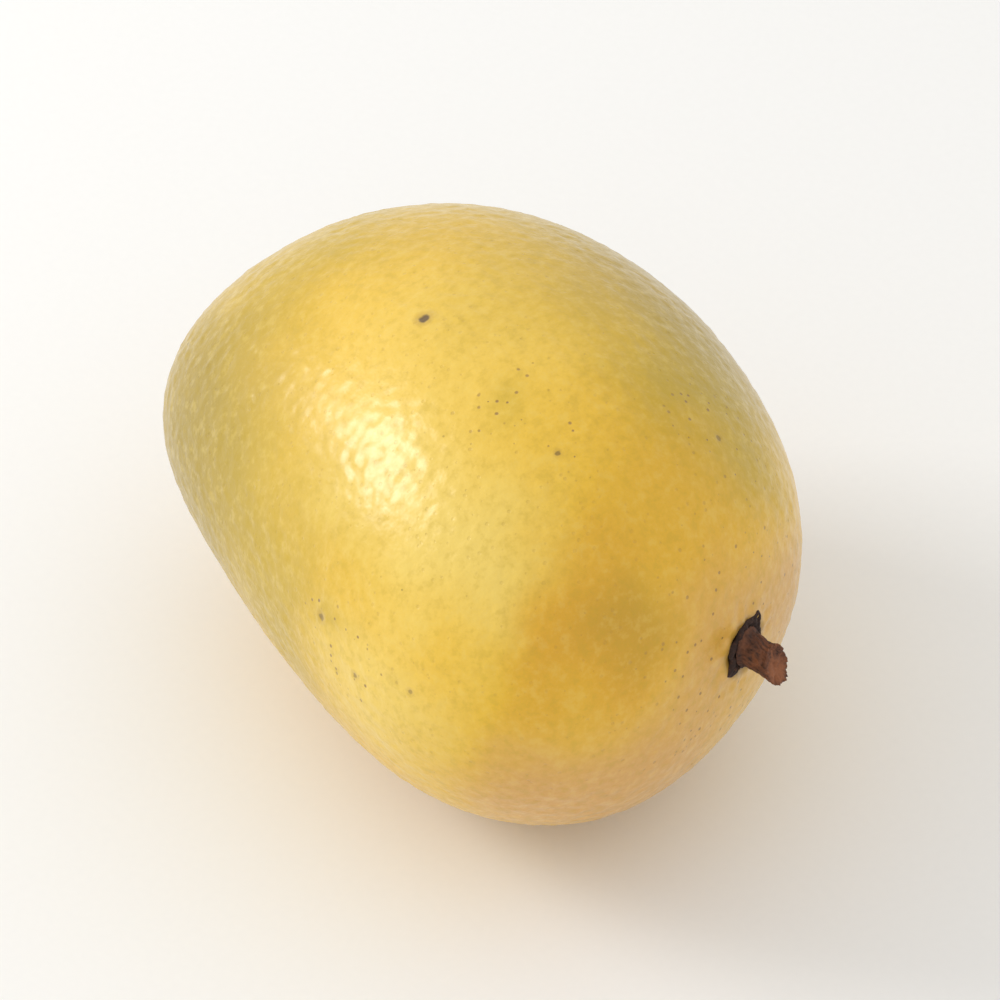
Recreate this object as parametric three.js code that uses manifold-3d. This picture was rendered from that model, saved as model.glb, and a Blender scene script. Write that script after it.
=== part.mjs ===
// A ripe yellow mango lying on its cheek, with the broken stub of its stalk.
// Millimetres, +Z up. The origin is on the small flat spot that the fruit rests on,
// and +X runs along the fruit towards its stem end.

import * as THREE from "three";
import { mergeVertices } from "three/addons/utils/BufferGeometryUtils.js";
import Module from "manifold-3d";

// The fruit's body, along its core line from the stem end to the blossom end.
const HALF_LENGTH = 50;
const HALF_WIDTH = 39.5;
const HALF_THICKNESS = 34.9;
const WIDTH_SHOULDER = 0.139; // how much wider the stem half is than the blossom half
const THICKNESS_SHOULDER = 0.132; // and how much thicker
const BLUNTNESS = 0.955; // 1 is an egg's ends, less is flatter
const SLANT = -15.1; // how far the core line leans over sideways, stem end to middle
const HOOK = 9.2; // how far it straightens again at its two ends
const BOW = -3.3; // how far its middle bows out to the back side

// How it lies.
const REST_PITCH = THREE.MathUtils.degToRad(4); // stem end up
const REST_TURN = THREE.MathUtils.degToRad(20); // brings the longest way onto X
const FLAT_DEPTH = 0.5; // what the peel gives under the fruit's weight

// How the stem end is flattened, and the seat of the calyx there.
const FLATTENING = 2.9;
const FLATTENING_REACH = 21;
const SEAT_RADIUS = 4.9;
const SEAT_DEPTH = 0.8;
const SEAT_OPENING = 4; // how far the seat's cutter stands out of the fruit

// The corky remnant of the calyx.
const CALYX_LOBES = 5;
const CALYX_RADIUS = 3.9;
const CALYX_LOBE = 0.55; // how far each lobe stands out past that radius
const CALYX_HEIGHT = 0.7;
const CALYX_BEVEL = 0.25;

// The broken stalk.
const STUB_LENGTH = 6;
const STUB_RADIUS = 2.1;
const STUB_FLARE = 0.55; // how much wider its foot is
const STUB_BREAK = 0.9; // how far its broken end slopes to each side
const STUB_NOTCH = 0.5; // how deep the splits in that end are
const STUB_LEAN_DOWN = 0.07; // its lean from the seat's own axis, mm per mm
const STUB_LEAN_SIDE = -0.16;

const GAP = 0.3; // left between pieces that touch

// Fineness of the meshes.
const BODY_STEPS = 44;
const BODY_SIDES = 60;
const CALYX_SIDES = 60;
const STUB_SIDES = 20;
const SEAT_SIDES = 40;
const SWEEP_STEPS = 360;

const wasm = await Module();
wasm.setup();

// A point of the smooth peel, u from 0 at the stem end to PI at the blossom end and
// v round the body, in the fruit's own frame: core line along X, cheeks facing up and down.
function peelPoint(u, v) {
  const along = Math.cos(u);
  const ring = Math.sin(u) ** BLUNTNESS;
  const coreLine = SLANT * along + HOOK * along ** 3 + BOW * (along ** 2 - 1 / 3);
  const fromPole = (ring * (HALF_WIDTH + HALF_THICKNESS)) / 2;
  const sunk = along > 0 ? FLATTENING * Math.exp(-((fromPole / FLATTENING_REACH) ** 2)) : 0;
  return new THREE.Vector3(
    HALF_LENGTH * along - sunk,
    HALF_WIDTH * ring * (1 + WIDTH_SHOULDER * along) * Math.cos(v) + coreLine,
    HALF_THICKNESS * ring * (1 + THICKNESS_SHOULDER * along) * Math.sin(v)
  );
}

// The turn from the fruit's own frame to the way it lies.
function lyingTurn() {
  const pitch = new THREE.Matrix4().makeRotationY(-REST_PITCH);
  const turn = new THREE.Matrix4().makeRotationZ(REST_TURN);
  return turn.multiply(pitch);
}

// Where the peel would first touch the ground, in the turned frame, found by a fine sweep
// of the quarter that faces down.
function lowestPoint(turn) {
  let lowest = new THREE.Vector3(0, 0, Infinity);
  for (let i = 0; i <= SWEEP_STEPS; i++) {
    for (let j = 0; j <= SWEEP_STEPS; j++) {
      const u = Math.PI * (0.25 + (0.5 * i) / SWEEP_STEPS);
      const v = Math.PI * (1.25 + (0.5 * j) / SWEEP_STEPS);
      const point = peelPoint(u, v).applyMatrix4(turn);
      if (point.z < lowest.z) lowest = point;
    }
  }
  return lowest;
}

// The whole placing: the fruit's own frame to the frame of the part.
function lyingPlace() {
  const turn = lyingTurn();
  const low = lowestPoint(turn);
  const shift = new THREE.Matrix4().makeTranslation(-low.x, -low.y, -low.z - FLAT_DEPTH);
  return shift.multiply(turn);
}

// The frame of the stem seat: +Z out of the fruit along the stalk, at the peel's own height.
function stemPlace() {
  const pole = peelPoint(0, 0);
  const outwards = new THREE.Matrix4().makeRotationY(Math.PI / 2);
  const shift = new THREE.Matrix4().makeTranslation(pole.x, pole.y, pole.z);
  return shift.multiply(outwards);
}

// A closed surface from rings of points between two end points.
function ringedGeometry(firstPole, rings, lastPole) {
  const sides = rings[0].length;
  const points = [firstPole, ...rings.flat(), lastPole];
  const last = points.length - 1;
  const lastRing = 1 + (rings.length - 1) * sides;
  const faces = [];
  for (let j = 0; j < sides; j++) {
    const next = (j + 1) % sides;
    faces.push(0, 1 + j, 1 + next);
    faces.push(last, lastRing + next, lastRing + j);
    for (let i = 0; i < rings.length - 1; i++) {
      const a = 1 + i * sides;
      const b = a + sides;
      faces.push(a + j, b + j, b + next, a + j, b + next, a + next);
    }
  }
  const geometry = new THREE.BufferGeometry().setFromPoints(points);
  geometry.setIndex(faces);
  return geometry;
}

function toSolid(geometry) {
  const bare = geometry.clone();
  bare.deleteAttribute("normal");
  bare.deleteAttribute("uv");
  const merged = mergeVertices(bare, 1e-4);
  return new wasm.Manifold(
    new wasm.Mesh({
      numProp: 3,
      vertProperties: Float32Array.from(merged.attributes.position.array),
      triVerts: Uint32Array.from(merged.index.array),
    })
  );
}

function toGeometry(solid) {
  const mesh = solid.getMesh();
  const geometry = new THREE.BufferGeometry();
  geometry.setAttribute("position", new THREE.BufferAttribute(mesh.vertProperties, 3));
  geometry.setIndex(new THREE.BufferAttribute(mesh.triVerts, 1));
  geometry.computeVertexNormals();
  return geometry;
}

function fruitGeometry(place) {
  const rings = [];
  for (let i = 1; i < BODY_STEPS; i++) {
    const ring = [];
    for (let j = 0; j < BODY_SIDES; j++) {
      ring.push(peelPoint((Math.PI * i) / BODY_STEPS, (2 * Math.PI * j) / BODY_SIDES));
    }
    rings.push(ring);
  }
  const body = ringedGeometry(peelPoint(0, 0), rings, peelPoint(Math.PI, 0));
  body.applyMatrix4(place);

  const seatLength = SEAT_DEPTH + SEAT_OPENING;
  const seat = new THREE.CylinderGeometry(SEAT_RADIUS, SEAT_RADIUS, seatLength, SEAT_SIDES);
  seat.rotateX(Math.PI / 2);
  seat.translate(0, 0, (SEAT_OPENING - SEAT_DEPTH) / 2);
  seat.applyMatrix4(place.clone().multiply(stemPlace()));

  const ground = new THREE.BoxGeometry(3 * HALF_LENGTH, 3 * HALF_LENGTH, HALF_LENGTH);
  ground.translate(0, 0, -HALF_LENGTH / 2);

  return toGeometry(toSolid(body).subtract(toSolid(seat)).subtract(toSolid(ground)));
}

// A flat five-lobed disc with rounded rims, its foot just clear of the seat's floor.
function calyxGeometry() {
  const outline = new THREE.Shape();
  for (let i = 0; i < CALYX_SIDES; i++) {
    const angle = (2 * Math.PI * i) / CALYX_SIDES;
    const lobed = CALYX_RADIUS - CALYX_BEVEL + CALYX_LOBE * Math.cos(CALYX_LOBES * angle);
    const x = lobed * Math.cos(angle);
    const y = lobed * Math.sin(angle);
    if (i === 0) outline.moveTo(x, y);
    else outline.lineTo(x, y);
  }
  outline.closePath();
  const geometry = new THREE.ExtrudeGeometry(outline, {
    depth: CALYX_HEIGHT,
    bevelEnabled: true,
    bevelThickness: CALYX_BEVEL,
    bevelSize: CALYX_BEVEL,
    bevelSegments: 2,
  });
  geometry.translate(0, 0, CALYX_BEVEL + GAP - SEAT_DEPTH);
  return geometry;
}

// The stalk's stub, from its sloping, split end down to its flared foot, leaning over.
function stubGeometry() {
  const stations = [
    { height: 1, radius: STUB_RADIUS * 0.92 },
    { height: 0.88, radius: STUB_RADIUS * 1.06 },
    { height: 0.6, radius: STUB_RADIUS },
    { height: 0.32, radius: STUB_RADIUS + 0.15 * STUB_FLARE },
    { height: 0.14, radius: STUB_RADIUS + 0.6 * STUB_FLARE },
    { height: 0, radius: STUB_RADIUS + STUB_FLARE },
  ];
  const leaning = (x, y, z) =>
    new THREE.Vector3(x + STUB_LEAN_DOWN * z, y + STUB_LEAN_SIDE * z, z);
  const rings = stations.map(({ height, radius }) => {
    const ring = [];
    for (let j = 0; j < STUB_SIDES; j++) {
      const angle = (2 * Math.PI * j) / STUB_SIDES;
      const slope = STUB_BREAK * Math.cos(angle);
      const split = STUB_NOTCH * Math.cos(3 * angle + 1);
      const z = STUB_LENGTH * height + (slope + split) * height ** 4;
      ring.push(leaning(1.04 * radius * Math.cos(angle), 0.96 * radius * Math.sin(angle), z));
    }
    return ring;
  });
  const tip = leaning(0, 0, STUB_LENGTH - STUB_NOTCH);
  const foot = leaning(0, 0, 0);
  const geometry = ringedGeometry(tip, rings, foot);
  geometry.computeVertexNormals();
  geometry.translate(0, 0, CALYX_HEIGHT + 2 * CALYX_BEVEL + 2 * GAP - SEAT_DEPTH);
  return geometry;
}

function named(name, geometry, colour, roughness) {
  const material = new THREE.MeshStandardMaterial({ color: colour, roughness, metalness: 0 });
  const mesh = new THREE.Mesh(geometry, material);
  mesh.name = name;
  return mesh;
}

const place = lyingPlace();
const fruit = named("fruit", fruitGeometry(place), 0xe3bf5c, 0.42);
const calyxDisc = named("calyx_disc", calyxGeometry(), 0x3b2a20, 0.9);
const stemStub = named("stem_stub", stubGeometry(), 0x6b4026, 0.85);

// The calyx and the stub stand on the flattened stem end.
const stemEnd = new THREE.Group();
stemEnd.applyMatrix4(place.clone().multiply(stemPlace()));
stemEnd.add(calyxDisc, stemStub);

const group = new THREE.Group();
group.add(fruit, stemEnd);

export default group;
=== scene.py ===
"""A ripe yellow mango lying on its cheek on a pale studio floor.

The fruit's skin, the corky calyx and the broken stub of the stalk are grown around the
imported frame, in metres, +Z up, with +X along the fruit towards its stem end.
"""

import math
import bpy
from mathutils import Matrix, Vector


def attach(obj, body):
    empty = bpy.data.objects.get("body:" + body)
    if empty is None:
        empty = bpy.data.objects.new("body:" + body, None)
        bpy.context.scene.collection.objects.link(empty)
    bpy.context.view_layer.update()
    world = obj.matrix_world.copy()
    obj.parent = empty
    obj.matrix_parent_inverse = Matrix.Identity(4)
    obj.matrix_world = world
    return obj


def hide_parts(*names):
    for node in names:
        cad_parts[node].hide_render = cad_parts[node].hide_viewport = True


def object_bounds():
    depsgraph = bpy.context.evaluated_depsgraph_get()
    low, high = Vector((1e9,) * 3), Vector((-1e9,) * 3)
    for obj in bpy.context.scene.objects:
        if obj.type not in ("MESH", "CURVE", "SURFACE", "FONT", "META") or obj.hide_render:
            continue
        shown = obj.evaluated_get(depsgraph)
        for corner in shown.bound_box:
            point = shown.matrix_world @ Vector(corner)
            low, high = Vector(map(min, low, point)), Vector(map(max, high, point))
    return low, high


bl_info = {
    "name": "Mango",
    "version": (1, 0, 0),
    "blender": (4, 5, 0),
    "location": "View3D > Sidebar > Mango",
    "description": "Grows a ripe mango with its calyx and stalk stub, and sets its studio",
    "category": "Object",
}

import bmesh
import bpy
from bpy.props import FloatProperty, FloatVectorProperty, IntProperty, PointerProperty
from mathutils import Matrix, Vector, noise

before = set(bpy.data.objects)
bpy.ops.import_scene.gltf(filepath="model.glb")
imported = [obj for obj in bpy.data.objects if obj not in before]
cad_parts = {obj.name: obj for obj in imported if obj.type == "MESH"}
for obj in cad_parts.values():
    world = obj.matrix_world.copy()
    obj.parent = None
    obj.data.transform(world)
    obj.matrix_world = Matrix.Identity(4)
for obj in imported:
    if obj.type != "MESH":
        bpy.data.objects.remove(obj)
CAD_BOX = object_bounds()

MM = 0.001

# The fruit's body, along its core line from the stem end to the blossom end.
HALF_LENGTH = 50 * MM
HALF_WIDTH = 39.5 * MM
HALF_THICKNESS = 34.9 * MM
WIDTH_SHOULDER = 0.139  # how much wider the stem half is than the blossom half
THICKNESS_SHOULDER = 0.132  # and how much thicker
BLUNTNESS = 0.955  # 1 is an egg's ends, less is flatter
SLANT = -15.1 * MM  # how far the core line leans over sideways, stem end to middle
HOOK = 9.2 * MM  # how far it straightens again at its two ends
BOW = -3.3 * MM  # how far its middle bows out to the back side
FLATTENING = 2.9 * MM  # how far the stem end is flattened
FLATTENING_REACH = 21 * MM

# How it lies.
REST_PITCH = math.radians(4)  # stem end up
REST_TURN = math.radians(20)  # brings the longest way onto X
SWEEP_STEPS = 240
FLAT_DEPTH = 0.5 * MM  # what the peel gives under the fruit's weight
FLAT_SOFTNESS = 0.12 * MM
FLAT_REACH = 8 * FLAT_SOFTNESS  # higher skin isn't flattened at all

# The seat of the calyx, in the stem's own frame: +Z out of the fruit and +X down.
SEAT_RADIUS = 3.7 * MM
SEAT_DEPTH = 0.5 * MM
LIP_HEIGHT = 0.2 * MM
PUCKERS = 9
PUCKER_HEIGHT = 0.11 * MM

# The calyx, in the same frame.
CALYX_RADIUS = 3.8 * MM
CALYX_THICKNESS = 0.62 * MM
CALYX_SINK = 0.4 * MM  # how far its underside is sunk in the skin
CALYX_RAYS = 11
CALYX_RAY_HEIGHT = 0.11 * MM
CALYX_COLLAR = 0.32 * MM  # the ring that stands up round the stub's foot
CALYX_CURL = 0.35 * MM  # how far the tips of its lobes turn up

# The stalk's stub, in the same frame.
STUB_LENGTH = 5.2 * MM
STUB_RADIUS = 2.3 * MM
STUB_FLARE = 0.6 * MM  # how much wider its foot is
STUB_SWELL = 0.16 * MM  # how much its broken end is splayed
STUB_BREAK = 0.85 * MM  # how far that end slopes to each side
STUB_LIFT = 0.35 * MM  # how high its foot is above the smooth skin
STUB_LEAN_DOWN = 0.07  # its lean, as a share of its height
STUB_LEAN_SIDE = -0.16

# The broad lumps of the skin: height, width and noise seed.
LUMPS = ((0.42 * MM, 27 * MM, 3), (0.1 * MM, 10 * MM, 5))

# Each scar is a shallow pit with a raised rim.
SCAR_DEPTH = 0.16 * MM
SCAR_RIM_HEIGHT = 0.035 * MM
SCAR_REACH = 3.5  # where its relief ends, in radii

# Scars that stand out on the skin: place and radius, in millimetres, and darkness.
SCARS = (
    ((-7.0, -8.6, 68.0), 0.85, 0.9),
    ((8.5, -37.4, 41.6), 0.6, 0.55),
    ((16.8, -38.0, 37.6), 0.5, 0.5),
    ((26.6, -36.2, 41.2), 0.42, 0.45),
    ((23.7, -9.7, 66.9), 0.42, 0.6),
    ((28.5, 13.3, 60.3), 0.45, 0.5),
    ((-23.0, 24.0, 55.5), 0.65, 0.9),
    ((5.0, 34.0, 40.0), 0.5, 0.6),
    ((-42.0, -4.0, 48.0), 0.5, 0.55),
    ((-34.0, 14.0, 22.0), 0.6, 0.8),
)


def paint(code):
    """A colour written as in a paint chart, rrggbb, as the linear values that shaders use."""
    shares = [int(code[i : i + 2], 16) / 255 for i in (0, 2, 4)]
    return [s / 12.92 if s <= 0.04045 else ((s + 0.055) / 1.055) ** 2.4 for s in shares]


def colour_property(name, description, code):
    return FloatVectorProperty(
        name=name,
        description=description,
        subtype="COLOR",
        size=3,
        min=0.0,
        max=1.0,
        default=paint(code),
    )


# ---------------------------------------------------------------------------
# Settings
# ---------------------------------------------------------------------------


class MangoPeelSettings(bpy.types.PropertyGroup):
    ripe: colour_property("Ripe", "Main colour of the ripe skin", "e7b81c")
    # Pale is partly the skin's real paler yellow and partly painted sheen: its cream, bluer
    # tone stands in for the wax's reflection round the highlight.
    pale_and_sheen: colour_property("Pale", "Pale yellow of the upper cheek", "ebcf6a")
    # Green is mostly the skin's real green, but on the near flank its patches are also painted
    # shade.
    green: colour_property("Green", "Greenish skin that ripened last", "b89a0a")
    gold: colour_property("Gold", "Deep golden patches near the stem end", "dba204")
    # Olive is partly the skin's real olive tone and partly painted shade: its darkness stands
    # in for the shadow that neighbouring fruit cast on the flanks.
    olive_and_shade: colour_property("Olive", "Darker skin of the flank that grew in the shade", "927a06")
    tan: colour_property("Tan", "Dull skin round the stalk and underneath", "d29d54")
    scar: colour_property("Scar", "Dried sap scars and dark specks", "523a1a")
    dimple_depth: FloatProperty(
        name="Dimple depth",
        description="Height of the fine waves of the skin",
        default=0.17 * MM,
        min=0.0,
        subtype="DISTANCE",
        unit="LENGTH",
    )
    dimple_size: FloatProperty(
        name="Dimple size",
        description="Width of the fine waves of the skin",
        default=1.5 * MM,
        min=0.2 * MM,
        subtype="DISTANCE",
        unit="LENGTH",
    )
    wax_roughness: FloatProperty(
        name="Wax roughness",
        description="How blurred the shine of the waxy skin is",
        default=0.39,
        min=0.0,
        max=1.0,
        subtype="FACTOR",
    )
    fineness: IntProperty(
        name="Fineness",
        description="Faces along each edge of the cube that is blown up into the fruit",
        default=122,
        min=8,
        max=128,
    )


class MangoStemSettings(bpy.types.PropertyGroup):
    cork: colour_property("Cork", "Dark dried tissue of the calyx", "2e1a11")
    bark: colour_property("Bark", "Skin of the stalk", "6c4029")
    wood: colour_property("Wood", "Fibres of the stalk's broken end", "a0623c")
    ridge_depth: FloatProperty(
        name="Ridge depth",
        description="Height of the ridges along the stalk",
        default=0.16 * MM,
        min=0.0,
        subtype="DISTANCE",
        unit="LENGTH",
    )


class MangoStageSettings(bpy.types.PropertyGroup):
    floor: colour_property("Floor", "Colour of the studio floor", "f4f3f0")
    sky_strength: FloatProperty(
        name="Surrounding light",
        description="Strength of the even light from all round",
        default=0.87,
        min=0.0,
    )
    key_power: FloatProperty(
        name="Key light",
        description="Power of the large soft lamp",
        default=3.0,
        min=0.0,
        subtype="POWER",
        unit="POWER",
    )
    key_size: FloatProperty(
        name="Key light size",
        description="Side of the large soft lamp",
        default=0.33,
        min=0.05,
        subtype="DISTANCE",
        unit="LENGTH",
    )
    camera_azimuth: FloatProperty(
        name="Camera azimuth",
        description="Where the camera stands, turned from the -Y side towards +X",
        default=math.radians(52.9),
        subtype="ANGLE",
        unit="ROTATION",
    )
    camera_height: FloatProperty(
        name="Camera elevation",
        description="How high the camera looks down from",
        default=math.radians(43.1),
        subtype="ANGLE",
        unit="ROTATION",
    )
    camera_distance: FloatProperty(
        name="Camera distance",
        description="From the middle of the fruit to the camera",
        default=1.15,
        min=0.1,
        subtype="DISTANCE",
        unit="LENGTH",
    )
    fruit_share: FloatProperty(
        name="Share of the view",
        description="How much of the view's width the fruit's length would fill",
        default=0.78,
        min=0.1,
        max=1.0,
        subtype="FACTOR",
    )


# ---------------------------------------------------------------------------
# The fruit's form
# ---------------------------------------------------------------------------


def peel_point(d):
    """The smooth skin in the fruit's own frame, for a direction d on the unit sphere whose
    +X pole is the stem end."""
    waist = max(math.hypot(d.y, d.z), 1e-9)
    blunt = waist ** (BLUNTNESS - 1)
    core_line = SLANT * d.x + HOOK * d.x**3 + BOW * (d.x**2 - 1 / 3)
    from_pole = waist**BLUNTNESS * (HALF_WIDTH + HALF_THICKNESS) / 2
    sunk = FLATTENING * math.exp(-((from_pole / FLATTENING_REACH) ** 2)) if d.x > 0 else 0.0
    return Vector(
        (
            HALF_LENGTH * d.x - sunk,
            HALF_WIDTH * blunt * d.y * (1 + WIDTH_SHOULDER * d.x) + core_line,
            HALF_THICKNESS * blunt * d.z * (1 + THICKNESS_SHOULDER * d.x),
        )
    )


def lying_place():
    """The fruit's own frame to the frame of the part: turned, and set on its flat spot,
    which is found by a fine sweep of the quarter that faces down."""
    turn = Matrix.Rotation(REST_TURN, 4, "Z") @ Matrix.Rotation(-REST_PITCH, 4, "Y")
    low = Vector((0, 0, 1))
    for i in range(SWEEP_STEPS + 1):
        u = math.pi * (0.25 + 0.5 * i / SWEEP_STEPS)
        for j in range(SWEEP_STEPS + 1):
            v = math.pi * (1.25 + 0.5 * j / SWEEP_STEPS)
            ring = math.sin(u)
            d = Vector((math.cos(u), ring * math.cos(v), ring * math.sin(v)))
            point = turn @ peel_point(d)
            if point.z < low.z:
                low = point
    return Matrix.Translation((-low.x, -low.y, -low.z - FLAT_DEPTH)) @ turn


def stem_place(place):
    """The frame of the stem end: +Z out of the fruit, +X down, at the skin's own height."""
    pole = peel_point(Vector((1, 0, 0)))
    return place @ Matrix.Translation(pole) @ Matrix.Rotation(math.pi / 2, 4, "Y")


PLACE = lying_place()
STEM = stem_place(PLACE)


def end_height(x, y):
    """Height of the smooth skin at a spot of the stem's own frame, 0 at its middle."""
    across = y / (HALF_WIDTH * (1 + WIDTH_SHOULDER))
    down = x / (HALF_THICKNESS * (1 + THICKNESS_SHOULDER))
    waist = min(math.hypot(across, down) ** (1 / BLUNTNESS), 1.0)
    from_pole = waist**BLUNTNESS * (HALF_WIDTH + HALF_THICKNESS) / 2
    sunk = FLATTENING * math.exp(-((from_pole / FLATTENING_REACH) ** 2))
    return HALF_LENGTH * (math.sqrt(1 - waist**2) - 1) + FLATTENING - sunk


def smooth_step(x, low, high):
    """x from low to high becomes 0 to 1, eased at both ends."""
    t = min(max((x - low) / (high - low), 0.0), 1.0)
    return t * t * (3 - 2 * t)


def rough(point, size, seed):
    """Smooth random waves of about that size at a point, from -1 to 1."""
    return noise.noise(point / size + Vector((seed, 2 * seed, -seed)))


def round_about(angle):
    """The point of the unit circle at that angle, where noise closes on itself."""
    return Vector((math.cos(angle), math.sin(angle), 0))


def skin_relief(point, settings):
    """How far the real skin stands proud of the smooth form at a point of the part."""
    lumps = sum(height * rough(point, width, seed) for height, width, seed in LUMPS)
    patchy = 0.7 + 0.5 * rough(point, 9 * MM, seed=11)
    size = settings.dimple_size
    waves = rough(point, size, seed=17) - 0.7 * abs(rough(point, 1.25 * size, seed=23))
    relief = lumps + settings.dimple_depth * patchy * waves
    for centre, radius, darkness in SCARS:
        gap = (point - Vector(centre) * MM).length / (radius * MM)
        if gap < SCAR_REACH:
            relief -= SCAR_DEPTH * darkness * math.exp(-(gap**2))
            relief += SCAR_RIM_HEIGHT * math.exp(-((gap - 1.7) ** 2) / 0.3)
    return relief


def stem_relief(local):
    """The seat of the calyx, its lip and the puckers round it, in the stem's own frame.
    There is none far from the seat or at the fruit's other end."""
    reach = math.hypot(local.x, local.y)
    if reach > 4 * SEAT_RADIUS or local.z < -6 * MM:
        return 0.0
    angle = math.atan2(local.y, local.x)
    ragged = 1 + 0.14 * rough(round_about(angle), 0.6, seed=31)
    share = reach / (SEAT_RADIUS * ragged)
    seat = -SEAT_DEPTH * (1 - smooth_step(share, 0.72, 1.05))
    lip = LIP_HEIGHT * math.exp(-((share - 1.25) ** 2) / 0.05)
    folds = math.sin(PUCKERS * angle + 4 * rough(local, 6 * MM, seed=37))
    puckers = PUCKER_HEIGHT * folds * math.exp(-((share - 1.55) ** 2) / 0.25)
    return seat + lip + puckers


def rest_on_ground(z):
    """The height z of the skin, flattened softly where the fruit rests."""
    if z > FLAT_REACH:
        return z
    return FLAT_SOFTNESS * math.log1p(math.exp(z / FLAT_SOFTNESS))


def blown_cube(fineness):
    """A cube of even squares, blown up into a unit sphere. The tangent keeps the squares
    about as large near the cube's edges as in the middle of its sides."""
    mesh = bmesh.new()
    bmesh.ops.create_cube(mesh, size=2)
    bmesh.ops.subdivide_edges(mesh, edges=mesh.edges, cuts=fineness - 1, use_grid_fill=True)
    for vert in mesh.verts:
        vert.co = Vector([math.tan(c * math.pi / 4) for c in vert.co]).normalized()
    return mesh


def refine_near(mesh, spots):
    """Halves the squares that lie within each spot's reach, on the fruit's smooth form."""
    near = []
    for edge in mesh.edges:
        middle = (edge.verts[0].co + edge.verts[1].co).normalized()
        point = PLACE @ peel_point(middle)
        if any((point - centre).length < reach for centre, reach in spots):
            near.append(edge)
    bmesh.ops.subdivide_edges(mesh, edges=near, cuts=1, use_grid_fill=True)
    for vert in mesh.verts:
        vert.co.normalize()


def object_from(mesh, name):
    """A new smooth-shaded scene object from a bmesh, which is freed."""
    data = bpy.data.meshes.new(name)
    bmesh.ops.recalc_face_normals(mesh, faces=mesh.faces)
    mesh.to_mesh(data)
    mesh.free()
    for polygon in data.polygons:
        polygon.use_smooth = True
    piece = bpy.data.objects.new(name, data)
    bpy.context.scene.collection.objects.link(piece)
    return piece


def grow_peel(settings):
    """The fruit's skin, with finer squares round the stem end and the scars."""
    mesh = blown_cube(settings.fineness)
    spots = [(STEM.translation, 8 * MM)]
    spots += [(Vector(centre) * MM, 2.4 * radius * MM) for centre, radius, _ in SCARS]
    refine_near(mesh, spots)
    for vert in mesh.verts:
        vert.co = PLACE @ peel_point(vert.co)
    mesh.normal_update()
    to_stem = STEM.inverted()
    moved = []
    for vert in mesh.verts:
        relief = skin_relief(vert.co, settings) + stem_relief(to_stem @ vert.co)
        place = vert.co + relief * vert.normal
        place.z = rest_on_ground(place.z)
        moved.append(place)
    for vert, place in zip(mesh.verts, moved):
        vert.co = place
    return object_from(mesh, "mango_peel")


# ---------------------------------------------------------------------------
# The stem end's form
# ---------------------------------------------------------------------------

# The calyx's lobes: where each points, in degrees from straight down, how far it reaches
# past the disc, as a share of the disc's radius, and how wide it is, in degrees.
LOBES = (
    (134, 0.5, 19),
    (178, 0.16, 17),
    (80, 0.14, 18),
    (22, 0.2, 18),
    (-64, 0.4, 18),
    (-118, 0.16, 18),
)


def lobed_reach(angle):
    """The calyx's outline: a ragged disc with pointed lobes."""
    reach = 0.86 + 0.16 * rough(round_about(angle), 0.35, seed=41)
    for degrees, length, width in LOBES:
        away = math.degrees(math.remainder(angle - math.radians(degrees), 2 * math.pi))
        reach += length * math.exp(-abs(away / width) ** 1.8)
    return CALYX_RADIUS * reach


def calyx_heights(x, y, angle, share):
    """Heights of the calyx's top and underside at a spot that lies share of the way out."""
    spot = Vector((x, y, 0))
    reach = math.hypot(x, y)
    rays = math.sin(CALYX_RAYS * angle + 3 * rough(spot, 1.5 * MM, seed=43))
    bumps = 0.4 * MM * rough(spot, 0.9 * MM, seed=47)
    bumps += 0.14 * MM * rough(spot, 0.35 * MM, seed=53)
    bumps += CALYX_RAY_HEIGHT * rays * smooth_step(share, 0.3, 0.7)
    edge = math.sqrt(max(1 - share**6, 0.0))
    collar = CALYX_COLLAR * math.exp(-((reach / STUB_RADIUS - 1.45) ** 2) / 0.09)
    curl = CALYX_CURL * smooth_step(reach / CALYX_RADIUS, 0.9, 1.3)
    floor = end_height(x, y) - SEAT_DEPTH * (1 - smooth_step(share, 0.7, 1.0))
    top = floor + (CALYX_THICKNESS + bumps + collar + curl) * edge
    return top, floor - CALYX_SINK * edge - 0.02 * MM


def grow_calyx():
    """A thin, wrinkled, corky star that lies in its seat, closed underneath."""
    steps, sides = 34, 220
    mesh = bmesh.new()
    top, under = [], []
    for i in range(1, steps + 1):
        share = (i / steps) ** 0.9
        for j in range(sides):
            angle = 2 * math.pi * j / sides
            reach = lobed_reach(angle) * share
            x, y = reach * math.cos(angle), reach * math.sin(angle)
            high, low = calyx_heights(x, y, angle, share)
            top.append(mesh.verts.new((x, y, high)))
            under.append(mesh.verts.new((x, y, low)))
    centre_top = mesh.verts.new((0, 0, CALYX_THICKNESS))
    centre_under = mesh.verts.new((0, 0, -SEAT_DEPTH - CALYX_SINK))
    for j in range(sides):
        after = (j + 1) % sides
        mesh.faces.new((centre_top, top[j], top[after]))
        mesh.faces.new((centre_under, under[after], under[j]))
        for i in range(steps - 1):
            a, b = i * sides, (i + 1) * sides
            mesh.faces.new((top[a + j], top[b + j], top[b + after], top[a + after]))
            mesh.faces.new((under[a + after], under[b + after], under[b + j], under[a + j]))
        rim = (steps - 1) * sides
        mesh.faces.new((top[rim + j], under[rim + j], under[rim + after], top[rim + after]))
    for vert in mesh.verts:
        vert.co = STEM @ vert.co
    return object_from(mesh, "mango_calyx")


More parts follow.
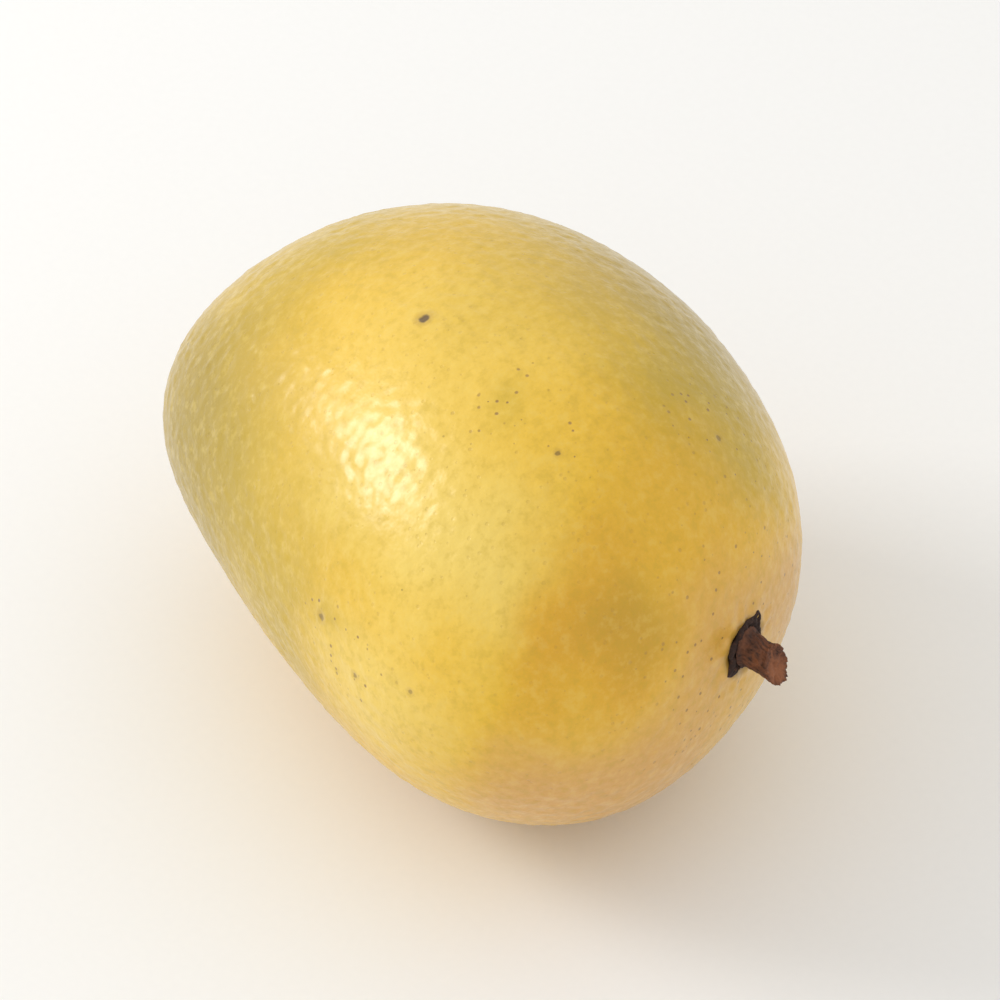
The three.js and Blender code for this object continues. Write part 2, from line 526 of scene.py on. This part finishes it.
def stub_point(height, share, angle, ridge_depth):
    """A point of the stub, share across from its middle line, height up its length."""
    across = round_about(angle)
    along = across * 1.4 + Vector((0, 0, 1.3 * height))
    flare = STUB_FLARE * math.exp(-height / 0.13)
    swell = STUB_SWELL * math.exp(-((height - 0.93) ** 2) / 0.01)
    bulge = 0.22 * MM * rough(across + Vector((0, 0, 2.2 * height)), 1.1, seed=59)
    ridges = ridge_depth * (rough(along, 0.24, seed=61) + 0.5 * rough(along, 0.1, seed=67))
    cracks = 0.05 * MM * rough(Vector((0, 0, height)) + 0.1 * across, 0.035, seed=71)
    radius = (STUB_RADIUS + flare + swell + bulge + ridges + cracks) * share
    x, y = radius * across.x * 1.05, radius * across.y * 0.95
    slope = STUB_BREAK * x / STUB_RADIUS
    split = 0.55 * MM * rough(Vector((x, y, 0)), 1.15 * MM, seed=73)
    fibres = 0.3 * MM * rough(Vector((x, y, 0)), 0.32 * MM, seed=79)
    hollow = -0.5 * MM * (1 - share**2)
    z = STUB_LENGTH * height + (slope + split + fibres * share + hollow) * height**5
    return Vector((x + STUB_LEAN_DOWN * z, y + STUB_LEAN_SIDE * z, z))


def grow_stub(settings):
    """The stalk's stub: ridged bark, a flared foot, and a split, fibrous end."""
    steps, sides, rings_in = 64, 132, 14
    ridge_depth = settings.ridge_depth
    mesh = bmesh.new()
    rings = []
    levels = [(i / steps, 1.0) for i in range(steps + 1)]
    levels += [(1.0, 1 - i / rings_in) for i in range(1, rings_in)]
    for height, share in levels:
        ring = []
        for j in range(sides):
            angle = 2 * math.pi * j / sides
            ring.append(mesh.verts.new(stub_point(height, share, angle, ridge_depth)))
        rings.append(ring)
    tip = mesh.verts.new(stub_point(1.0, 0.0, 0.0, ridge_depth))
    foot = mesh.verts.new(stub_point(0.0, 0.0, 0.0, ridge_depth))
    for j in range(sides):
        after = (j + 1) % sides
        for low, high in zip(rings, rings[1:]):
            mesh.faces.new((low[j], low[after], high[after], high[j]))
        mesh.faces.new((foot, rings[0][after], rings[0][j]))
        mesh.faces.new((tip, rings[-1][j], rings[-1][after]))
    lift = Matrix.Translation((0, 0, STUB_LIFT))
    for vert in mesh.verts:
        vert.co = STEM @ lift @ vert.co
    return object_from(mesh, "mango_stub")


# ---------------------------------------------------------------------------
# Finishes
# ---------------------------------------------------------------------------


def in_mm(place):
    """A place in metres as finishes take it, in millimetres."""
    return tuple(place / MM)


class Finish:
    """One material and short calls that add nodes to it. Lengths in it are millimetres."""

    def __init__(self, name):
        self.material = bpy.data.materials.new(name)
        self.material.use_nodes = True
        self.tree = self.material.node_tree
        self.surface = self.tree.nodes["Principled BSDF"]
        place = self.node("ShaderNodeTexCoord").outputs["Object"]
        scaled = self.node("ShaderNodeVectorMath", operation="SCALE")
        self.tree.links.new(place, scaled.inputs[0])
        scaled.inputs["Scale"].default_value = 1 / MM
        self.place = scaled.outputs[0]

    def node(self, kind, **settings):
        """A new node of that kind."""
        made = self.tree.nodes.new(kind)
        for key, value in settings.items():
            setattr(made, key, value)
        return made

    def put(self, socket, value):
        """Wires value into the socket, or sets it if it is a plain value."""
        if isinstance(value, bpy.types.NodeSocket):
            self.tree.links.new(value, socket)
        else:
            socket.default_value = value

    def reckon(self, operation, a, b):
        """The result of a sum with two values."""
        made = self.node("ShaderNodeMath", operation=operation)
        self.put(made.inputs[0], a)
        self.put(made.inputs[1], b)
        return made.outputs[0]

    def ramp(self, value, low, high, start=0.0, end=1.0):
        """value from low to high becomes start to end, eased at both ends."""
        made = self.node("ShaderNodeMapRange", interpolation_type="SMOOTHSTEP")
        for socket, number in zip(made.inputs[:5], (value, low, high, start, end)):
            self.put(socket, number)
        return made.outputs[0]

    def blend(self, share, first, second):
        """The first colour, with that share of the second mixed in."""
        made = self.node("ShaderNodeMix", data_type="RGBA")
        self.put(made.inputs[0], share)
        for socket, colour in ((made.inputs[6], first), (made.inputs[7], second)):
            if not isinstance(colour, bpy.types.NodeSocket):
                colour = (*colour, 1.0)
            self.put(socket, colour)
        return made.outputs[2]

    def waves(self, size, detail=2.0, roughness=0.5, place=None):
        """A node of cloudy noise of about that size, from 0 to 1."""
        made = self.node("ShaderNodeTexNoise")
        self.put(made.inputs["Vector"], place or self.place)
        made.inputs["Scale"].default_value = 1 / size
        made.inputs["Detail"].default_value = detail
        made.inputs["Roughness"].default_value = roughness
        return made

    def wandering(self, size, reach):
        """The place, moved about by noise, so that borders wander."""
        noisy = self.waves(size, 1.0).outputs["Color"]
        centred = self.node("ShaderNodeVectorMath", operation="SUBTRACT")
        self.put(centred.inputs[0], noisy)
        centred.inputs[1].default_value = (0.5, 0.5, 0.5)
        moved = self.node("ShaderNodeVectorMath", operation="MULTIPLY_ADD")
        self.put(moved.inputs[0], centred.outputs[0])
        moved.inputs[1].default_value = (reach, reach, reach)
        self.put(moved.inputs[2], self.place)
        return moved.outputs[0]

    def patch(self, place, centre, reach, core=0.15):
        """1 near a centre and 0 past its reach."""
        gap = self.node("ShaderNodeVectorMath", operation="DISTANCE")
        self.put(gap.inputs[0], place)
        gap.inputs[1].default_value = centre
        return self.ramp(gap.outputs["Value"], core * reach, reach, 1.0, 0.0)

    def dots(self, spacing, radius, share):
        """Round dots of up to that radius, one in a share of the cells of that spacing."""
        made = self.node("ShaderNodeTexVoronoi")
        self.put(made.inputs["Vector"], self.place)
        made.inputs["Scale"].default_value = 1 / spacing
        split = self.node("ShaderNodeSeparateColor")
        self.put(split.inputs[0], made.outputs["Color"])
        chosen = self.ramp(split.outputs["Red"], share - 0.04, share + 0.04, 1.0, 0.0)
        size = self.ramp(split.outputs["Green"], 0.0, 1.0, 0.45, 1.0)
        limit = self.reckon("MULTIPLY", size, radius / spacing)
        near = self.reckon("DIVIDE", made.outputs["Distance"], limit)
        return self.reckon("MULTIPLY", self.ramp(near, 0.55, 1.15, 1.0, 0.0), chosen)

    def bump(self, height, depth):
        """Raises the surface by that depth where height is 1."""
        made = self.node("ShaderNodeBump")
        made.inputs["Strength"].default_value = 1.0
        made.inputs["Distance"].default_value = depth
        self.put(made.inputs["Height"], height)
        self.put(self.surface.inputs["Normal"], made.outputs["Normal"])


# The skin's small marks, in millimetres.
BORDER_WAVES = 12.0
BORDER_REACH = 13.0  # how far the borders of the patches wander in those waves
MOTTLE_SIZE = 1.7
LENTICEL_SPACING = 1.35
LENTICEL_RADIUS = 0.31
LENTICEL_PIT = 0.5  # how deep its pit is, as a share of the ripples' height
STEM_LENTICELS_REACH = 32.0  # round the stem end they are darker
SPECK_SPACING = 9.0
SPECK_RADIUS = 0.3
PUCKER_RIM_REACH = 5.4
RIPPLE_SIZE = 0.9
RIPPLE_HEIGHT = 0.09

# Where the skin's colour changes, each patch laid over those before it: the colour's name,
# the patch's centre and reach, in millimetres in the frame of the part, and its strength.
COLOUR_PATCHES = (
    # Partly painted sheen: these first three pale patches lay the highlight's whitish veil into
    # the colour, round and beneath it, over the upper cheek's real paler yellow.
    ("pale_and_sheen", (0, -14, 68), 34, 0.4),
    ("pale_and_sheen", (6, -26, 61), 17, 0.6),
    ("pale_and_sheen", (23, -27, 59), 20, 0.75),
    ("pale_and_sheen", (20, -38, 36), 20, 0.6),
    ("gold", (36, 4, 56), 28, 0.5),
    # Partly painted shade: these three green patches darken the near flank, standing in for a
    # neighbouring fruit's shadow and the falling off of the key light, over its real green.
    ("green", (-24, -32, 40), 34, 0.9),
    ("green", (-4, -38, 28), 22, 0.8),
    ("green", (-2, -36, 46), 23, 0.55),
    ("green", (-22, 28, 50), 40, 0.7),
    ("green", (19, 20, 61), 27, 0.9),
    ("green", (-4, 8, 69), 24, 0.3),
    # Painted shade: these two olive patches darken the flanks where neighbouring fruit would
    # shade them, over their real olive tone.
    ("olive_and_shade", (-40, -26, 36), 38, 0.8),
    ("olive_and_shade", (2, 32, 52), 32, 0.65),
    ("tan", (46, -12, 22), 30, 0.85),
    ("tan", (43, 20, 34), 21, 0.85),
    ("tan", (46, 2, 42), 17, 0.6),
    ("tan", (42, -27, 26), 17, 0.7),
    ("tan", (8, 0, -4), 42, 0.6),
    ("gold", (40, -20, 54), 12, 0.85),
    ("gold", (44, -15, 49), 13, 0.85),
    ("gold", (36, -12, 60), 11, 0.5),
    ("olive_and_shade", (43, -12, 52), 10, 0.3),
    ("gold", (42, -26, 44), 9, 0.5),
    ("green", (-34, -4, 52), 26, 0.7),
    ("gold", (-22, 34, 22), 28, 0.7),
    ("green", (15, -11, 68.4), 5, 0.35),
    ("green", (11, -37, 43.5), 5, 0.4),
)

# Where dark lenticels cluster: centre and reach, in the same way.
FRECKLES = (
    ((15, -11, 68.4), 9),
    ((22, -8, 67), 7),
    ((10, -37, 42.5), 9),
    ((16, -38, 39), 10),
    ((27, 14, 61), 12),
    ((-30, 14, 40), 14),
)


def brown(settings):
    """The colour of lenticels and of the scars' halos."""
    return [0.45 * c for c in settings.tan]


def broad_colour(finish, settings, wandering):
    """The ripe colour with its patches, some painted sheen and shade, whose borders wander."""
    colour = settings.ripe
    for name, centre, reach, strength in COLOUR_PATCHES:
        share = finish.patch(wandering, centre, reach)
        share = finish.reckon("MULTIPLY", share, strength)
        colour = finish.blend(share, colour, getattr(settings, name))
    return colour


def mottled(finish, settings, colour, mottle):
    """The colour with fine greener and paler mottling."""
    greener = finish.ramp(mottle, 0.48, 0.7, 0.0, 0.26)
    colour = finish.blend(greener, colour, settings.green)
    paler = finish.ramp(mottle, 0.52, 0.3, 0.0, 0.2)
    return finish.blend(paler, colour, settings.pale_and_sheen)


def dotted(finish, settings, colour, lenticels, wandering):
    """The colour with its lenticels, darker round the stem end and where they cluster, and
    with a few larger specks."""
    clustered = finish.patch(finish.place, in_mm(STEM.translation), STEM_LENTICELS_REACH, 0.1)
    for centre, reach in FRECKLES:
        freckled = finish.patch(wandering, centre, reach, 0.1)
        clustered = finish.reckon("MAXIMUM", clustered, freckled)
    strength = finish.ramp(clustered, 0.0, 1.0, 0.1, 0.85)
    share = finish.reckon("MULTIPLY", lenticels, strength)
    colour = finish.blend(share, colour, brown(settings))
    specks = finish.dots(SPECK_SPACING, SPECK_RADIUS, 0.3)
    return finish.blend(finish.reckon("MULTIPLY", specks, 0.6), colour, settings.scar)


def scarred(finish, settings, colour):
    """The colour with its scars, each with a ragged rim and a brownish halo, and darker
    where the skin is puckered against the calyx."""
    jitter = finish.wandering(0.7, 0.5)
    for centre, radius, darkness in SCARS:
        halo = finish.patch(jitter, centre, 2.3 * radius, 0.4)
        halo = finish.reckon("MULTIPLY", halo, 0.35 * darkness)
        colour = finish.blend(halo, colour, brown(settings))
        core = finish.patch(jitter, centre, 1.1 * radius, 0.55)
        core = finish.reckon("MULTIPLY", core, darkness)
        colour = finish.blend(core, colour, settings.scar)
    rim = finish.patch(jitter, in_mm(STEM.translation), PUCKER_RIM_REACH, 0.7)
    return finish.blend(finish.reckon("MULTIPLY", rim, 0.45), colour, settings.scar)


def peel_finish(settings):
    """Waxy skin: patches of colour, some of them painted sheen and shade, mottling, lenticels
    in tiny pits, and scars.
    """
    finish = Finish("mango peel")
    wandering = finish.wandering(BORDER_WAVES, BORDER_REACH)
    mottle = finish.waves(MOTTLE_SIZE, 3.0, 0.65).outputs["Fac"]
    lenticels = finish.dots(LENTICEL_SPACING, LENTICEL_RADIUS, 0.75)
    colour = broad_colour(finish, settings, wandering)
    colour = mottled(finish, settings, colour, mottle)
    colour = dotted(finish, settings, colour, lenticels, wandering)
    colour = scarred(finish, settings, colour)

    surface = finish.surface
    finish.put(surface.inputs["Base Color"], colour)
    spread = settings.wax_roughness
    roughness = finish.ramp(mottle, 0.35, 0.65, spread - 0.05, spread + 0.06)
    finish.put(surface.inputs["Roughness"], roughness)
    surface.inputs["IOR"].default_value = 1.42
    surface.inputs["Coat Weight"].default_value = 0.58
    surface.inputs["Coat Roughness"].default_value = 0.22

    ripples = finish.waves(RIPPLE_SIZE, 1.0, 0.5).outputs["Fac"]
    pits = finish.reckon("MULTIPLY", lenticels, LENTICEL_PIT)
    finish.bump(finish.reckon("SUBTRACT", ripples, pits), RIPPLE_HEIGHT * MM)
    return finish.material


def cork_finish(settings):
    """Dead, dark, crumbly tissue."""
    finish = Finish("dried calyx cork")
    grain = finish.waves(0.5, 4.0, 0.7).outputs["Fac"]
    colour = finish.blend(finish.ramp(grain, 0.5, 0.85), settings.cork, settings.bark)
    finish.put(finish.surface.inputs["Base Color"], colour)
    finish.surface.inputs["Roughness"].default_value = 0.82
    finish.bump(grain, 0.12 * MM)
    return finish.material


def stalk_finish(settings):
    """Streaky brown bark, redder at the broken end and dark at the foot."""
    finish = Finish("broken stalk")
    along_stem = finish.node("ShaderNodeMapping")
    finish.put(along_stem.inputs["Vector"], finish.place)
    along_stem.inputs["Scale"].default_value = (0.22, 1.0, 1.0)
    streaks = finish.waves(0.42, 3.0, 0.6, along_stem.outputs[0]).outputs["Fac"]
    cloud = finish.waves(1.4, 2.0).outputs["Fac"]
    colour = finish.blend(finish.ramp(streaks, 0.3, 0.62), settings.cork, settings.bark)
    redder = finish.ramp(cloud, 0.42, 0.7, 0.0, 0.5)
    colour = finish.blend(redder, colour, settings.wood)
    tip = in_mm(STEM @ Vector((0.9 * MM, -1.0 * MM, STUB_LENGTH + 1.0 * MM)))
    broken = finish.patch(finish.wandering(0.8, 0.8), tip, 2.4, 0.35)
    colour = finish.blend(finish.reckon("MULTIPLY", broken, 0.7), colour, settings.wood)
    foot = finish.patch(finish.place, in_mm(STEM.translation), 4.6, 0.3)
    colour = finish.blend(finish.reckon("MULTIPLY", foot, 0.7), colour, settings.cork)
    finish.put(finish.surface.inputs["Base Color"], colour)
    finish.surface.inputs["Roughness"].default_value = 0.78
    finish.bump(streaks, 0.12 * MM)
    return finish.material


def floor_finish(settings):
    """Plain matt paper with the faintest fleck."""
    finish = Finish("studio floor")
    fleck = finish.waves(1.2, 0.0).outputs["Fac"]
    shade = [0.985 * c for c in settings.floor]
    finish.put(finish.surface.inputs["Base Color"], finish.blend(fleck, settings.floor, shade))
    finish.surface.inputs["Roughness"].default_value = 0.7
    return finish.material


# ---------------------------------------------------------------------------
# The studio
# ---------------------------------------------------------------------------

FLOOR_SIZE = 6.0
KEY_AZIMUTH = math.radians(-51)  # turned from the -Y side towards +X, as the camera's
KEY_ELEVATION = math.radians(29)
KEY_DISTANCE = 0.85


def way_to(azimuth, elevation):
    """The way from the fruit to a thing that stands at that azimuth and elevation."""
    flat = math.cos(elevation)
    return Vector((math.sin(azimuth) * flat, -math.cos(azimuth) * flat, math.sin(elevation)))


def aim(thing, target):
    """Turns a camera or lamp so that it looks at the target."""
    away = thing.location - target
    thing.rotation_euler = away.to_track_quat("Z", "Y").to_euler()


def lay_floor(settings, middle):
    bpy.ops.mesh.primitive_plane_add(size=FLOOR_SIZE, location=(middle.x, middle.y, 0))
    floor = bpy.context.object
    floor.name = "studio_floor"
    floor.data.materials.append(floor_finish(settings))


def light_all_round(settings):
    world = bpy.data.worlds.new("studio air")
    world.use_nodes = True
    sky = world.node_tree.nodes["Background"]
    sky.inputs["Color"].default_value = (1.0, 1.0, 1.0, 1.0)
    sky.inputs["Strength"].default_value = settings.sky_strength
    bpy.context.scene.world = world


def hang_key_lamp(settings, middle):
    lamp = bpy.data.lights.new("key_lamp", "AREA")
    lamp.shape = "SQUARE"
    lamp.size = settings.key_size
    lamp.energy = settings.key_power
    holder = bpy.data.objects.new("key_lamp", lamp)
    bpy.context.scene.collection.objects.link(holder)
    holder.location = middle + KEY_DISTANCE * way_to(KEY_AZIMUTH, KEY_ELEVATION)
    aim(holder, middle)


def set_camera(settings, middle, fruit_length):
    lens = bpy.data.cameras.new("camera")
    camera = bpy.data.objects.new("camera", lens)
    bpy.context.scene.collection.objects.link(camera)
    towards = way_to(settings.camera_azimuth, settings.camera_height)
    camera.location = middle + settings.camera_distance * towards
    aim(camera, middle)
    view_width = fruit_length / settings.fruit_share
    lens.lens = lens.sensor_width * settings.camera_distance / view_width
    bpy.context.scene.camera = camera


# ---------------------------------------------------------------------------
# Operators
# ---------------------------------------------------------------------------


def fit_to_frame(piece, node, material):
    """Stands the finished piece in for its node of the frame."""
    piece.data.materials.append(material)
    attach(piece, "root")
    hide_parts(node)


class MANGO_OT_peel(bpy.types.Operator):
    """Grow the fruit's skin, with its dimples, scars and the puckered seat of the calyx"""

    bl_idname = "mango.peel"
    bl_label = "Grow the skin"

    def execute(self, context):
        settings = context.scene.mango_peel
        piece = grow_peel(settings)
        fit_to_frame(piece, "fruit", peel_finish(settings))
        return {"FINISHED"}


class MANGO_OT_calyx(bpy.types.Operator):
    """Grow the dark corky remnant of the calyx"""

    bl_idname = "mango.calyx"
    bl_label = "Grow the calyx"

    def execute(self, context):
        piece = grow_calyx()
        finish = cork_finish(context.scene.mango_stem)
        fit_to_frame(piece, "calyx_disc", finish)
        return {"FINISHED"}


class MANGO_OT_stub(bpy.types.Operator):
    """Grow the broken stub of the stalk"""

    bl_idname = "mango.stub"
    bl_label = "Grow the stalk's stub"

    def execute(self, context):
        settings = context.scene.mango_stem
        piece = grow_stub(settings)
        fit_to_frame(piece, "stem_stub", stalk_finish(settings))
        return {"FINISHED"}


class MANGO_OT_stage(bpy.types.Operator):
    """Set the pale floor, the soft light and the camera"""

    bl_idname = "mango.stage"
    bl_label = "Set the studio"

    def execute(self, context):
        scene = context.scene
        settings = scene.mango_stage
        low, high = (Vector(corner) for corner in CAD_BOX)
        middle = (low + high) / 2
        lay_floor(settings, middle)
        light_all_round(settings)
        hang_key_lamp(settings, middle)
        set_camera(settings, middle, high.x - low.x)
        scene.view_settings.view_transform = "Standard"
        scene.view_settings.look = "None"
        return {"FINISHED"}


class MANGO_PT_panel(bpy.types.Panel):
    """The mango's settings and the steps that grow it"""

    bl_idname = "MANGO_PT_panel"
    bl_label = "Mango"
    bl_space_type = "VIEW_3D"
    bl_region_type = "UI"
    bl_category = "Mango"

    def draw(self, context):
        layout = self.layout
        for operator in OPERATORS:
            layout.operator(operator.bl_idname)
        for owner in ("mango_peel", "mango_stem", "mango_stage"):
            settings = getattr(context.scene, owner)
            box = layout.box()
            for name in settings.__annotations__:
                box.prop(settings, name)


OPERATORS = (MANGO_OT_peel, MANGO_OT_calyx, MANGO_OT_stub, MANGO_OT_stage)
SETTINGS = (MangoPeelSettings, MangoStemSettings, MangoStageSettings)
CLASSES = (*SETTINGS, *OPERATORS, MANGO_PT_panel)


def register():
    for cls in CLASSES:
        bpy.utils.register_class(cls)
    bpy.types.Scene.mango_peel = PointerProperty(type=MangoPeelSettings)
    bpy.types.Scene.mango_stem = PointerProperty(type=MangoStemSettings)
    bpy.types.Scene.mango_stage = PointerProperty(type=MangoStageSettings)


def unregister():
    del bpy.types.Scene.mango_stage
    del bpy.types.Scene.mango_stem
    del bpy.types.Scene.mango_peel
    for cls in reversed(CLASSES):
        bpy.utils.unregister_class(cls)


def main():
    register()
    bpy.ops.mango.peel()
    bpy.ops.mango.calyx()
    bpy.ops.mango.stub()
    bpy.ops.mango.stage()


if __name__ == "__main__":
    main()
